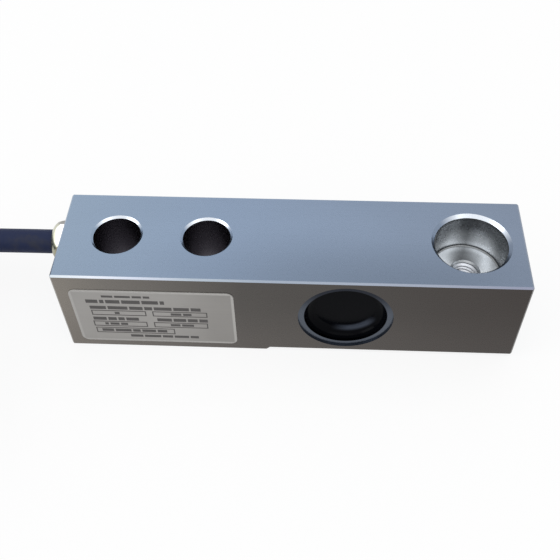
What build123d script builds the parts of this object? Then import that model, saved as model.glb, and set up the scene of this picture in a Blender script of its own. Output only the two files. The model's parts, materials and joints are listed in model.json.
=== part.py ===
from build123d import *
from math import cos, pi, radians, sin, sqrt, tan
import os

# Single-ended shear beam load cell with a blind load bore, its signal cable and the gauges inside.
# X runs along the beam from the cable end to the load end, Z is up and Y points to the rear face.
# The origin is on the mounting pad, midway between the two fixing holes. Lengths are millimetres.

# Beam blank and its raised mounting pad
beam_length = 130.0
beam_width = 31.8
beam_height = 31.8
edge_chamfer = 0.5
pad_length = 58.4
pad_height = 1.0

# Fixing holes at the cable end
fixing_margin = 15.9
fixing_spacing = 25.4
fixing_hole_d = 13.5
fixing_chamfer = 0.6

# Blind load bore with a tapped hole in its floor, whose diameter is taken over the thread's roots
load_margin = 14.9
load_bore_d = 20.5
load_bore_depth = 12.5
load_chamfer = 0.9
load_floor_fillet = 0.6
tapped_hole_d = 8.0
tapped_hole_depth = 12.0
tapped_mouth_d = 9.0
drill_point_angle = 118.0

# Gauge pockets, one in each side, with the shear web between them
pocket_to_load = 34.3
pocket_d = 23.2
pocket_land_d = 26.8
pocket_land_depth = 0.6
pocket_floor_fillet = 1.0
web_thickness = 6.0
link_hole_d = 2.6
link_hole_x = -8.4
link_hole_z = -3.6
overshoot = 1.0

# Sealing compound cast into each pocket
potting_cover = 1.9
potting_flat_r = 9.0
potting_gap = 0.05

# Strain gauges: backing film, foil grids and solder tabs
film_length = 10.0
film_height = 8.0
film_thickness = 0.1
film_corner = 0.6
grid_line_length = 3.0
grid_line_width = 0.28
grid_pitch = 0.56
grid_lines = 5
grid_thickness = 0.06
grid_spread = 2.35
grid_height = 0.9
tab_size = 1.1
tab_row_z = -3.1
tab_places = (-3.6, -1.2, 1.2, 3.6)

# Terminal strip under each gauge, and the fine leads up to the gauge tabs
strip_length = 7.6
strip_height = 2.2
strip_thickness = 0.6
strip_z = -7.4
pad_d = 1.1
pad_thickness = 0.25
pad_pitch = 1.8
gauge_lead_d = 0.3
gauge_lead_rise = 1.1

# Bridge board over the rear gauge, with its resistors
board_length = 17.0
board_height = 9.5
board_thickness = 0.8
board_corner = 1.5
board_x = -1.2
board_over_web = 3.4
trim_chip = (3.2, 1.6, 0.6)
trim_chip_pitch = 2.6
trim_chip_x = 1.2
compensation_chip = (2.4, 6.0, 0.9)
compensation_chip_x = 5.6
chip_chamfer = 0.2
inner_gap = 0.05

# Sleeved wires from the front gauge through the web to the board
link_sleeve_d = 1.6
link_bend = 1.3
link_lift = 0.2

# Cable, its cores and its drain wire
cable_d = 7.4
core_d = 1.1
drain_d = 0.4
core_offset = 0.6
core_bend = 0.9
core_lag = 0.8
fan_start = 1.4
fan_back = 1.0
fan_run = 2.8
landing_run = 2.8
passage_d = 3.6
wire_lane_over_web = 7.4
passage_rise = 0.6
bundle_reach = 1.0
bundle_gap = 0.1

# Cable gland in the end face
gland_inset = 6.3
gland_rise = 0.4
socket_d = 10.1
socket_depth = 8.6
gland_thread_d = 10.0
gland_spigot = 4.0
gland_bore_d = 7.6
gland_across_flats = 12.0
gland_hex_length = 4.6
gland_dome_length = 2.4
gland_hex_turn = 24.0
gland_nose_d = 9.0
gland_nose_rise = 0.3
gland_seat_drop = 0.6
gland_seat_length = 0.4
gland_thread_chamfer = 0.4
gland_mouth_chamfer = 0.3
slip_washer_thickness = 0.5
slip_washer_d = 9.8
bush_chamfer = 0.4
jacket_setback = 0.3

# Data plate on the front face
plate_length = 45.8
plate_height = 23.4
plate_thickness = 0.2
plate_corner = 2.0
plate_margin = 3.9
plate_bottom = 3.0

# Coil of the stored cable, three layers of turns tied in three places
coil_x = -118.0
coil_mid_r = 44.4
layer_turns = (3, 4, 3)
tie_thickness = 0.8
tie_sweep = 6.5
tie_places = (18.0, 136.0, 226.0)
stub_length = 24.0
tail_shift = 2.0
tail_r = 29.3
tail_start = 95.0
tail_sweep = 150.0

# Far end of the cable: shrink sleeve, five leads and their tinned ends
sleeve_d = 8.0
sleeve_sweep = 35.0
lead_gap_angle = 0.5
lead_sweep = 62.0
lead_bow = 0.6
lead_settle = 0.25
lead_rest_z = 0.6
tinned_d = 0.8
tinned_length = 6.0

# Places that follow from the sizes above
cable_end_x = -(fixing_spacing / 2 + fixing_margin)
load_end_x = cable_end_x + beam_length
load_x = load_end_x - load_margin
pocket_x = load_x - pocket_to_load
pocket_z = (pad_height + beam_height) / 2
pad_end_x = cable_end_x + pad_length
pocket_depth = (beam_width - web_thickness) / 2
gland_y = beam_width / 2 - gland_inset
passage_y = (gland_y + web_thickness / 2 + wire_lane_over_web) / 2
passage_z = pocket_z + passage_rise
gland_z = passage_z + gland_rise
gland_mouth_x = cable_end_x - gland_hex_length - gland_dome_length
socket_floor_x = cable_end_x + socket_depth
jacket_end_x = socket_floor_x - jacket_setback
board_y = web_thickness / 2 + board_over_web
potting_depth = beam_width / 2 - passage_y - potting_cover
same_size = 1e-6

os.makedirs("parts", exist_ok=True)


def save(part, name):
    """Label a finished piece and write it as its own STEP file."""
    part.label = name
    export_step(part, f"parts/{name}.step")


def tube(points, radii, diameter):
    """Round wire or cable along straight runs joined by tangent arcs."""
    with BuildPart() as wire:
        with BuildLine() as route:
            FilletPolyline(*points, radius=radii)
        with BuildSketch(Plane(origin=route.line @ 0, z_dir=route.line % 0)):
            Circle(diameter / 2)
        sweep()
    return wire.part


def arc_tube(start, middle, end, diameter):
    """Round wire along one arc through three points."""
    with BuildPart() as wire:
        with BuildLine() as route:
            ThreePointArc(start, middle, end)
        with BuildSketch(Plane(origin=route.line @ 0, z_dir=route.line % 0)):
            Circle(diameter / 2)
        sweep()
    return wire.part


def web_plane(side, height=0.0):
    """Plane parallel to the web at a height over it, seen from outside with Z up."""
    y = side * (web_thickness / 2 + height)
    return Plane(origin=(pocket_x, y, pocket_z), x_dir=(-side, 0, 0), z_dir=(0, side, 0))


def pocket_section(side):
    """Plane through the pocket's axis: local X is the radius and local Y points out of the face."""
    return Plane(origin=(pocket_x, side * beam_width / 2, pocket_z), x_dir=(1, 0, 0), z_dir=(0, 0, side))


def pocket_axis(side):
    """Axis of a gauge pocket, across the beam."""
    return Axis((pocket_x, side * beam_width / 2, pocket_z), (0, 1, 0))


# Beam body: one bar of plated steel, milled flat under its free length to leave the pad
with BuildPart() as beam_body:
    with BuildSketch(Plane.XZ):
        with BuildLine():
            Polyline(
                (cable_end_x, 0),
                (pad_end_x, 0),
                (pad_end_x + pad_height, pad_height),
                (load_end_x, pad_height),
                (load_end_x, beam_height),
                (cable_end_x, beam_height),
                close=True,
            )
        make_face()
    extrude(amount=beam_width / 2, both=True)
    step_edges = beam_body.edges().filter_by(Axis.Y).filter_by_position(
        Axis.X, pad_end_x - edge_chamfer, pad_end_x + pad_height + edge_chamfer
    )
    chamfer(beam_body.edges() - step_edges, length=edge_chamfer)

    # Two plain fixing holes through the pad
    with Locations((-fixing_spacing / 2, 0, 0), (fixing_spacing / 2, 0, 0)):
        Hole(radius=fixing_hole_d / 2)
    hole_rims = beam_body.edges().filter_by(GeomType.CIRCLE)
    hole_rims = hole_rims.filter_by(lambda edge: abs(edge.radius - fixing_hole_d / 2) < same_size)
    chamfer(hole_rims, length=fixing_chamfer)

    # Load bore, bored flat-bottomed, with a countersunk and tapped hole in its floor
    floor_z = beam_height - load_bore_depth
    mouth_drop = (tapped_mouth_d - tapped_hole_d) / 2
    tap_floor_z = floor_z - tapped_hole_depth
    point_drop = tapped_hole_d / 2 / tan(radians(drill_point_angle / 2))
    with BuildSketch(Plane(origin=(load_x, 0, 0), x_dir=(1, 0, 0), z_dir=(0, -1, 0))) as bore_profile:
        with BuildLine():
            Polyline(
                (0, beam_height + load_chamfer),
                (load_bore_d / 2 + 2 * load_chamfer, beam_height + load_chamfer),
                (load_bore_d / 2, beam_height - load_chamfer),
                (load_bore_d / 2, floor_z),
                (tapped_mouth_d / 2, floor_z),
                (tapped_hole_d / 2, floor_z - mouth_drop),
                (tapped_hole_d / 2, tap_floor_z),
                (0, tap_floor_z - point_drop),
                close=True,
            )
        make_face()
        bore_foot = bore_profile.vertices().filter_by(
            lambda v: abs(v.X - load_bore_d / 2) < same_size and abs(v.Y - floor_z) < same_size
        )
        fillet(bore_foot, radius=load_floor_fillet)
    revolve(axis=Axis((load_x, 0, 0), (0, 0, 1)), mode=Mode.SUBTRACT)

    # Gauge pockets, each with a shallow land round its mouth and a rounded foot at the web
    for side in (-1, 1):
        with BuildSketch(pocket_section(side)) as pocket_profile:
            with BuildLine():
                Polyline(
                    (0, overshoot),
                    (pocket_land_d / 2, overshoot),
                    (pocket_land_d / 2, -pocket_land_depth),
                    (pocket_d / 2, -pocket_land_depth),
                    (pocket_d / 2, -pocket_depth),
                    (0, -pocket_depth),
                    close=True,
                )
            make_face()
            foot = pocket_profile.vertices().filter_by(
                lambda v: abs(v.X - pocket_d / 2) < same_size and abs(v.Y + pocket_depth) < same_size
            )
            fillet(foot, radius=pocket_floor_fillet)
        revolve(axis=pocket_axis(side), mode=Mode.SUBTRACT)

    # Link hole through the web for the front gauge's wires
    with BuildSketch(Plane.XZ.offset(-web_thickness)):
        with Locations((pocket_x + link_hole_x, pocket_z + link_hole_z)):
            Circle(link_hole_d / 2)
    extrude(amount=2 * web_thickness, mode=Mode.SUBTRACT)

    # Gland socket and the long wire passage beside the fixing holes
    with BuildSketch(Plane.YZ.offset(cable_end_x)):
        with Locations((gland_y, gland_z)):
            Circle(socket_d / 2)
    extrude(amount=socket_depth, mode=Mode.SUBTRACT)
    with BuildSketch(Plane.YZ.offset(socket_floor_x)):
        with Locations((passage_y, passage_z)):
            Circle(passage_d / 2)
    extrude(amount=pocket_x - socket_floor_x, mode=Mode.SUBTRACT)
save(beam_body.part, "beam_body")


# Data plate: thin plate with rounded corners on the front face
with BuildPart() as data_plate:
    with BuildSketch(Plane.XZ.offset(beam_width / 2)):
        with Locations((cable_end_x + plate_margin + plate_length / 2, plate_bottom + plate_height / 2)):
            RectangleRounded(plate_length, plate_height, plate_corner)
    extrude(amount=plate_thickness)
save(data_plate.part, "data_plate")


# Gauge sets on both faces of the web, and the shapes that the potting leaves free for them
embedded = {-1: [], 1: []}
for side, face in ((-1, "front"), (1, "rear")):
    with BuildPart() as film:
        with BuildSketch(web_plane(side)):
            RectangleRounded(film_length, film_height, film_corner)
        extrude(amount=film_thickness)
    save(film.part, f"{face}_gauge_film")

    # Two foil grids at 45 degrees to the beam, each a meander with a tab at both ends
    grid_span = (grid_lines - 1) * grid_pitch
    with BuildPart() as grids:
        with BuildSketch(web_plane(side, film_thickness)):
            for lean in (-1, 1):
                with Locations(Location((lean * grid_spread, grid_height), lean * 45)):
                    with GridLocations(grid_pitch, 0, grid_lines, 1):
                        Rectangle(grid_line_width, grid_line_length)
                for turn in range(grid_lines - 1):
                    end = 1 if turn % 2 else -1
                    across = -grid_span / 2 + (turn + 0.5) * grid_pitch
                    along = end * (grid_line_length + grid_line_width) / 2
                    with Locations(Location((lean * grid_spread, grid_height), lean * 45)):
                        with Locations((across, along)):
                            Rectangle(grid_pitch + grid_line_width, grid_line_width)
            with Locations(*[(x, tab_row_z) for x in tab_places]):
                Rectangle(tab_size, tab_size)
        extrude(amount=grid_thickness)
    save(grids.part, f"{face}_gauge_grids")

    # Terminal strip of glass epoxy with four tinned pads
    pad_places = [(i - 1.5) * pad_pitch for i in range(4)]
    with BuildPart() as strip:
        with BuildSketch(web_plane(side)):
            with Locations((0, strip_z)):
                Rectangle(strip_length, strip_height)
        extrude(amount=strip_thickness)
        with BuildSketch(web_plane(side, strip_thickness)):
            with Locations(*[(x, strip_z) for x in pad_places]):
                Circle(pad_d / 2)
        extrude(amount=pad_thickness)
    save(strip.part, f"{face}_terminals")

    # Fine leads that arch from the tabs down to the pads
    lead_base = web_plane(side)
    low = film_thickness + grid_thickness + gauge_lead_d / 2
    high = strip_thickness + pad_thickness + gauge_lead_d / 2
    fine_leads = []
    lead_channels = []
    for tab_x, pad_x in zip(tab_places, pad_places):
        start = lead_base.from_local_coords(Vector(tab_x, tab_row_z, low))
        crest_x = (tab_x + pad_x) / 2
        crest_z = (tab_row_z + strip_z) / 2
        crest = lead_base.from_local_coords(Vector(crest_x, crest_z, high + gauge_lead_rise))
        finish = lead_base.from_local_coords(Vector(pad_x, strip_z, high))
        fine_leads.append(arc_tube(start, crest, finish, gauge_lead_d))
        lead_channels.append(arc_tube(start, crest, finish, gauge_lead_d + 2 * inner_gap))
    with BuildPart() as gauge_leads:
        add(fine_leads)
    save(gauge_leads.part, f"{face}_gauge_leads")

    # Clearance shapes: film with its grids, strip with its pads, and the leads
    with BuildPart() as hollow:
        with BuildSketch(web_plane(side)):
            Rectangle(film_length + 2 * inner_gap, film_height + 2 * inner_gap)
        extrude(amount=low + gauge_lead_d / 2 + inner_gap)
        with BuildSketch(web_plane(side)):
            with Locations((0, strip_z)):
                Rectangle(strip_length + 2 * inner_gap, strip_height + 2 * inner_gap)
        extrude(amount=high + gauge_lead_d / 2 + inner_gap)
    embedded[side] = [hollow.part] + lead_channels


# Sleeved link wires: from the front terminals through the web to the back of the board
link_x = pocket_x + link_hole_x
link_z = pocket_z + link_hole_z
link_front_y = -(web_thickness / 2 + link_sleeve_d / 2 + link_lift)
link_points = [
    (pocket_x - strip_length / 2 - link_lift, link_front_y, pocket_z + strip_z),
    (link_x, link_front_y, link_z),
    (link_x, board_y, link_z),
]
link_sleeve = tube(link_points, link_bend, link_sleeve_d)
save(link_sleeve, "link_sleeve")
link_channel = tube(link_points, link_bend, link_sleeve_d + 2 * inner_gap)


# Bridge board of glass epoxy, cast in over the rear gauge
with BuildPart() as bridge_board:
    with BuildSketch(Plane.XZ.offset(-board_y)):
        with Locations((pocket_x + board_x, pocket_z)):
            RectangleRounded(board_length, board_height, board_corner)
    extrude(amount=-board_thickness)
save(bridge_board.part, "bridge_board")

# Three chips that trim the zero, and a longer one that compensates the span
board_top_y = board_y + board_thickness
with BuildPart() as trim_resistors:
    with BuildSketch(Plane.XZ.offset(-board_top_y)):
        with Locations((pocket_x + trim_chip_x, pocket_z)):
            with GridLocations(0, trim_chip_pitch, 1, 3):
                Rectangle(trim_chip[0], trim_chip[1])
    extrude(amount=-trim_chip[2])
save(trim_resistors.part, "trim_resistors")

with BuildPart() as span_resistor:
    with BuildSketch(Plane.XZ.offset(-board_top_y)):
        with Locations((pocket_x + compensation_chip_x, pocket_z)):
            Rectangle(compensation_chip[0], compensation_chip[1])
    extrude(amount=-compensation_chip[2])
    chamfer(span_resistor.faces().sort_by(Axis.Y)[-1].edges(), length=chip_chamfer)
save(span_resistor.part, "span_resistor")


# Cable cores and drain wire: along the passage, then down onto the board
mouth_x = pocket_x - pocket_d / 2
fan_x = mouth_x + fan_start
down_x = fan_x + fan_run
land_x = down_x + landing_run

# Each core: its place in the bundle, aside and above, its height on the board, and how late it fans out
cores = {
    "red": (core_offset, core_offset, 3.0, core_lag),
    "black": (-core_offset, core_offset, 1.0, 0.0),
    "green": (-core_offset, -core_offset, -1.0, 0.0),
    "white": (core_offset, -core_offset, -3.0, core_lag),
}
core_channels = []
for colour, (aside, above, land_z, lag) in cores.items():
    lie_y = board_top_y + core_d / 2 + inner_gap
    core_points = [
        (jacket_end_x, passage_y + aside, passage_z + above),
        (fan_x + lag, passage_y + aside, passage_z + above),
        (down_x + lag, lie_y, pocket_z + land_z),
        (land_x, lie_y, pocket_z + land_z),
    ]
    core = tube(core_points, core_bend, core_d)
    save(core, f"core_{colour}")
    channel_points = [(fan_x - fan_back,) + core_points[1][1:]] + core_points[1:3]
    channel_points.append((land_x + 2 * inner_gap,) + core_points[3][1:])
    core_channels.append(tube(channel_points, core_bend, core_d + 2 * inner_gap))

drain_y = board_top_y + drain_d / 2 + inner_gap
drain_points = [
    (jacket_end_x, passage_y, passage_z),
    (fan_x, passage_y, passage_z),
    (down_x, drain_y, pocket_z),
    (land_x, drain_y, pocket_z),
]
drain_wire = tube(drain_points, core_bend, drain_d)
save(drain_wire, "drain_wire")
drain_channel = [(fan_x - fan_back,) + drain_points[1][1:]] + drain_points[1:3]
drain_channel.append((land_x + 2 * inner_gap,) + drain_points[3][1:])
core_channels.append(tube(drain_channel, core_bend, drain_d + 2 * inner_gap))

# Clearance shapes round the board, its chips and the bundle at the passage's mouth
with BuildPart() as board_hollow:
    with BuildSketch(Plane.XZ.offset(-(board_y - inner_gap))):
        with Locations((pocket_x + board_x, pocket_z)):
            RectangleRounded(board_length + 2 * inner_gap, board_height + 2 * inner_gap, board_corner)
    extrude(amount=-(board_thickness + 2 * inner_gap))
    with BuildSketch(Plane.XZ.offset(-board_top_y)):
        with Locations((pocket_x + trim_chip_x, pocket_z)):
            with GridLocations(0, trim_chip_pitch, 1, 3):
                Rectangle(trim_chip[0] + 2 * inner_gap, trim_chip[1] + 2 * inner_gap)
    extrude(amount=-(trim_chip[2] + inner_gap))
    with BuildSketch(Plane.XZ.offset(-board_top_y)):
        with Locations((pocket_x + compensation_chip_x, pocket_z)):
            Rectangle(compensation_chip[0] + 2 * inner_gap, compensation_chip[1] + 2 * inner_gap)
    extrude(amount=-(compensation_chip[2] + inner_gap))
    with BuildSketch(Plane.YZ.offset(mouth_x - bundle_reach)):
        with Locations((passage_y, passage_z)):
            Circle(passage_d / 2 - bundle_gap)
    extrude(amount=2 * bundle_reach)
embedded[1] += [board_hollow.part] + core_channels


# Potting: black compound cast round the wires, drawn up at the wall as it set
for side, face in ((-1, "front"), (1, "rear")):
    potting_r = pocket_d / 2 - potting_gap
    climb = potting_r - potting_flat_r
    bend_x = potting_flat_r + climb * sin(pi / 4)
    bend_y = climb * (1 - cos(pi / 4)) - potting_depth
    crest_y = climb - potting_depth
    potting_floor = -(pocket_depth - potting_gap)
    with BuildPart() as potting:
        with BuildSketch(pocket_section(side)) as potting_profile:
            with BuildLine():
                Line((0, potting_floor), (0, -potting_depth))
                Line((0, -potting_depth), (potting_flat_r, -potting_depth))
                ThreePointArc((potting_flat_r, -potting_depth), (bend_x, bend_y), (potting_r, crest_y))
                Line((potting_r, crest_y), (potting_r, potting_floor))
                Line((potting_r, potting_floor), (0, potting_floor))
            make_face()
            heel = potting_profile.vertices().filter_by(
                lambda v: abs(v.X - potting_r) < same_size and abs(v.Y - potting_floor) < same_size
            )
            fillet(heel, radius=pocket_floor_fillet - potting_gap)
        revolve(axis=pocket_axis(side))
        add([link_channel] + embedded[side], mode=Mode.SUBTRACT)
    save(potting.part, f"{face}_potting")


# Gland screw: hollow hexagon head with a domed nose and a threaded spigot
gland_axis = Axis((cable_end_x, gland_y, gland_z), (1, 0, 0))
gland_section = Plane(origin=(cable_end_x, gland_y, gland_z), x_dir=(1, 0, 0), z_dir=(0, -1, 0))
hex_corner_r = gland_across_flats / sqrt(3)
nose_x = gland_mouth_x - cable_end_x
nose_r = gland_nose_d / 2 + gland_nose_rise
shoulder_x = gland_seat_drop - gland_hex_length
with BuildPart() as gland_screw:
    with BuildSketch(Plane.YZ.offset(gland_mouth_x)):
        with Locations(Location((gland_y, gland_z), gland_hex_turn)):
            RegularPolygon(radius=hex_corner_r, side_count=6)
    extrude(amount=gland_hex_length + gland_dome_length)
    with BuildSketch(gland_section):
        with BuildLine():
            Line((0, 0), (nose_x, 0))
            Line((nose_x, 0), (nose_x, gland_nose_d / 2))
            RadiusArc((nose_x, gland_nose_d / 2), (shoulder_x, hex_corner_r), nose_r)
            Line((shoulder_x, hex_corner_r), (-gland_seat_length, hex_corner_r))
            Line((-gland_seat_length, hex_corner_r), (0, hex_corner_r - gland_seat_drop))
            Line((0, hex_corner_r - gland_seat_drop), (0, 0))
        make_face()
    revolve(axis=gland_axis, mode=Mode.INTERSECT)
    with BuildSketch(Plane.YZ.offset(cable_end_x)):
        with Locations((gland_y, gland_z)):
            Circle(gland_thread_d / 2)
    extrude(amount=gland_spigot)
    with BuildSketch(Plane.YZ.offset(gland_mouth_x)):
        with Locations((gland_y, gland_z)):
            Circle(gland_bore_d / 2)
    extrude(amount=gland_hex_length + gland_dome_length + gland_spigot, mode=Mode.SUBTRACT)
    thread_end = gland_screw.faces().sort_by(Axis.X)[-1].edges().sort_by(SortBy.RADIUS)[-1]
    chamfer(thread_end, length=gland_thread_chamfer)
    cable_mouth = gland_screw.faces().sort_by(Axis.X)[0].edges().sort_by(SortBy.RADIUS)[0]
    chamfer(cable_mouth, length=gland_mouth_chamfer)
save(gland_screw.part, "gland_screw")

# Slip washer that the screw turns on, and the rubber bush it squeezes on the cable
washer_x = cable_end_x + gland_spigot
with BuildPart() as gland_washer:
    with BuildSketch(Plane.YZ.offset(washer_x)):
        with Locations((gland_y, gland_z)):
            Circle(slip_washer_d / 2)
            Circle(gland_bore_d / 2, mode=Mode.SUBTRACT)
    extrude(amount=slip_washer_thickness)
save(gland_washer.part, "gland_washer")

with BuildPart() as gland_bush:
    with BuildSketch(Plane.YZ.offset(washer_x + slip_washer_thickness)):
        with Locations((gland_y, gland_z)):
            Circle(slip_washer_d / 2)
            Circle(cable_d / 2 + inner_gap, mode=Mode.SUBTRACT)
    extrude(amount=socket_depth - gland_spigot - slip_washer_thickness)
    chamfer(gland_bush.edges().filter_by(GeomType.CIRCLE).sort_by(SortBy.RADIUS)[-2:], length=bush_chamfer)
save(gland_bush.part, "gland_bush")

# The jacketed cable inside the gland
with BuildPart() as cable_inlet:
    with BuildSketch(Plane.YZ.offset(gland_mouth_x)):
        with Locations((gland_y, gland_z)):
            Circle(cable_d / 2)
    extrude(amount=jacket_end_x - gland_mouth_x)
save(cable_inlet.part, "cable_inlet")


# Free cable from the gland to the coil, nearly straight and level
coil_outer_r = coil_mid_r + cable_d
coil_y = gland_y - coil_outer_r
cable_points = [
    (gland_mouth_x, gland_y, gland_z),
    (-50.0, gland_y, gland_z),
    (-70.0, gland_y - 0.1, gland_z - 0.3),
    (-85.6, gland_y - 0.7, gland_z - 0.4),
]


def bend_radii(points, share=0.45):
    """Largest arcs that fit a route's corners, as a share of the shorter run beside each."""
    radii = []
    for before, corner, after in zip(points, points[1:], points[2:]):
        run_in = Vector(*corner) - Vector(*before)
        run_out = Vector(*after) - Vector(*corner)
        turn = radians(run_in.get_angle(run_out))
        radii.append(share * min(run_in.length, run_out.length) / tan(turn / 2))
    return radii


cable_radii = bend_radii(cable_points)
cable_tube = tube(cable_points, cable_radii, cable_d)
save(cable_tube, "cable_tube")
with BuildLine() as cable_route:
    FilletPolyline(*cable_points, radius=cable_radii)
section_area = pi * cable_d**2 / 4
tube_length = cable_route.wire().length
print("cable bend radii", [round(r) for r in cable_radii])
print("cable volume", round(cable_tube.volume, 1), "section x length", round(section_area * tube_length, 1))

# Coil: the hull of ten turns in three layers, with the cable's way in and its inner tail
layer_rise = cable_d * sqrt(3) / 2
slots = []
for layer, turns in enumerate(layer_turns):
    z = tie_thickness + cable_d / 2 + layer * layer_rise
    for i in range(turns):
        slots.append((coil_mid_r + (i - (turns - 1) / 2) * cable_d, z))
tail_z = tie_thickness + cable_d / 2
tail_centre = Vector(
    coil_x + tail_shift * cos(radians(tail_start)), coil_y + tail_shift * sin(radians(tail_start)), tail_z
)


def tail_point(angle, radius=tail_r, z=tail_z):
    """Point of the inner tail's circle at an angle from its start."""
    around = radians(tail_start + angle)
    return (tail_centre.X + radius * cos(around), tail_centre.Y + radius * sin(around), z)


coil_section = Plane(origin=(coil_x, coil_y, 0), x_dir=(1, 0, 0), z_dir=(0, -1, 0))
coil_axis = Axis((coil_x, coil_y, 0), (0, 0, 1))
inward = (Vector(*cable_points[-1]) - Vector(*cable_points[-2])).normalized()
stub_end = Vector(*cable_points[-1]) + inward * stub_length
with BuildPart() as cable_coil:
    with BuildSketch(coil_section) as turns_hull:
        with Locations(*slots):
            Circle(cable_d / 2)
        make_hull()
    revolve(axis=coil_axis)
    with BuildSketch(Plane(origin=cable_points[-1], z_dir=inward)):
        Circle(cable_d / 2)
    extrude(amount=stub_length)
    with BuildLine() as tail_line:
        ThreePointArc(tail_point(0), tail_point(tail_sweep / 2), tail_point(tail_sweep))
    with BuildSketch(Plane(origin=tail_line.line @ 0, z_dir=tail_line.line % 0)):
        Circle(cable_d / 2)
    sweep(path=tail_line.line)
save(cable_coil.part, "cable_coil")

# Ties: flat straps closed round all the turns, and round the tail where it passes
held_hulls = []
for place in tie_places:
    held = list(slots)
    if tail_start < place < tail_start + tail_sweep:
        lean = radians(place + tie_sweep - tail_start)
        held.append((tail_r + tail_shift * cos(lean) - inner_gap, tail_z))
    with BuildSketch() as held_hull:
        with Locations(*held):
            Circle(cable_d / 2)
        make_hull()
    held_hulls.append(held_hull.sketch_local)

with BuildPart() as coil_ties:
    for place, held_hull in zip(tie_places, held_hulls):
        outward = (cos(radians(place)), sin(radians(place)), 0)
        along = (outward[1], -outward[0], 0)
        across = Plane(origin=(coil_x, coil_y, 0), x_dir=outward, z_dir=along)
        with BuildSketch(across):
            add(held_hull)
            offset(amount=tie_thickness, kind=Kind.ARC)
            add(held_hull, mode=Mode.SUBTRACT)
        revolve(axis=coil_axis, revolution_arc=tie_sweep)
save(coil_ties.part, "coil_ties")


# Far end: a shrink sleeve over the jacket's end, then five leads that settle onto the floor
sleeve_end = tail_sweep + sleeve_sweep
end_sleeve = arc_tube(
    tail_point(tail_sweep), tail_point(tail_sweep + sleeve_sweep / 2), tail_point(sleeve_end), sleeve_d
)
save(end_sleeve, "end_sleeve")

# Each lead: its place in the sleeve's end, aside and above, and where it comes to lie, measured aside
leads = {
    "red": (1.3, 1.0, 4.0),
    "green": (1.3, -1.1, 1.9),
    "shield": (0.0, 2.4, -0.2),
    "white": (-1.3, -1.1, -2.3),
    "black": (-1.3, 1.0, -4.4),
}
tips = []
lead_from = sleeve_end + lead_gap_angle
for name, (aside, above, spread) in leads.items():
    halfway = aside + lead_bow * (spread - aside)
    start = tail_point(lead_from, tail_r + aside, tail_z + above)
    settled_z = lead_rest_z + lead_settle * (tail_z + above - lead_rest_z)
    middle = tail_point(lead_from + lead_sweep / 2, tail_r + halfway, settled_z)
    finish = tail_point(lead_from + lead_sweep, tail_r + spread, lead_rest_z)
    save(arc_tube(start, middle, finish, core_d), f"lead_{name}")
    with BuildLine() as lead_route:
        ThreePointArc(start, middle, finish)
    with BuildPart() as tip:
        with BuildSketch(Plane(origin=lead_route.line @ 1, z_dir=lead_route.line % 1)):
            Circle(tinned_d / 2)
        extrude(amount=tinned_length)
    tips.append(tip.part)
with BuildPart() as tinned_ends:
    add(tips)
save(tinned_ends.part, "tinned_ends")
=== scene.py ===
import json
from math import cos, pi, radians, sin, sqrt, tau

import bmesh
import bpy
from mathutils import Matrix, Vector


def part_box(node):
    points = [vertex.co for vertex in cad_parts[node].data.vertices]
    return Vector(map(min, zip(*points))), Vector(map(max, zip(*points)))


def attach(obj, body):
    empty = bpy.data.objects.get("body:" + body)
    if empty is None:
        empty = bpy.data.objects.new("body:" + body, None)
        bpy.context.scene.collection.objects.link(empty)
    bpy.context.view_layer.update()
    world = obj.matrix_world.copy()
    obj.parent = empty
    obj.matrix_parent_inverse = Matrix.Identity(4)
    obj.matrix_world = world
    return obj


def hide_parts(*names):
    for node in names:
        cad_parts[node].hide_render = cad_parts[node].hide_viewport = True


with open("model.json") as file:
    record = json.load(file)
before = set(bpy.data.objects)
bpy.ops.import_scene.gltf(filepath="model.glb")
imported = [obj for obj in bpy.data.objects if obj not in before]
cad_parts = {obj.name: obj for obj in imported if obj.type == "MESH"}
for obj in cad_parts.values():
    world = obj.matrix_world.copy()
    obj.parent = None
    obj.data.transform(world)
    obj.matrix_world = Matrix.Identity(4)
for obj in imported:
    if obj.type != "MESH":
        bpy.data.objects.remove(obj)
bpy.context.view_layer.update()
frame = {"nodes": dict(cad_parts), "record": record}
nodes = frame["nodes"]
mounts = {mount["name"]: mount for mount in frame["record"]["mounts"]}


# Beam body. One bar of alloy steel, milled and ground all over, bored, and plated with satin nickel.
# Its sides carry a painted reflection, darker and warmer than the top, and every chamfer carries a painted
# highlight.


class Field:
    """A number or colour that varies over a surface. Arithmetic on a number adds Math nodes."""

    def __init__(self, finish, socket):
        self.finish = finish
        self.socket = socket

    def _math(self, operation, *values):
        return self.finish.node("Math", {"operation": operation}, dict(enumerate(values)))

    def __add__(self, other):
        return self._math("ADD", self, other)

    def __radd__(self, other):
        return self._math("ADD", other, self)

    def __sub__(self, other):
        return self._math("SUBTRACT", self, other)

    def __rsub__(self, other):
        return self._math("SUBTRACT", other, self)

    def __mul__(self, other):
        return self._math("MULTIPLY", self, other)

    def __rmul__(self, other):
        return self._math("MULTIPLY", other, self)

    def __truediv__(self, other):
        return self._math("DIVIDE", self, other)

    def __pow__(self, other):
        return self._math("POWER", self, other)

    def __abs__(self):
        return self._math("ABSOLUTE", self)

    def sine(self):
        return self._math("SINE", self)

    def greater(self, other):
        return self._math("MAXIMUM", self, other)

    def angle(self, other):
        """Angle of the point whose sine side is this field and whose cosine side is the other."""
        return self._math("ARCTAN2", self, other)

    def rise(self, low, high):
        """0 under low, 1 over high, and smooth between. With low over high it falls instead."""
        ends = {"From Min": low, "From Max": high}
        settings = {"interpolation_type": "SMOOTHSTEP"}
        return self.finish.node("MapRange", settings, {"Value": self, **ends})


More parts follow.
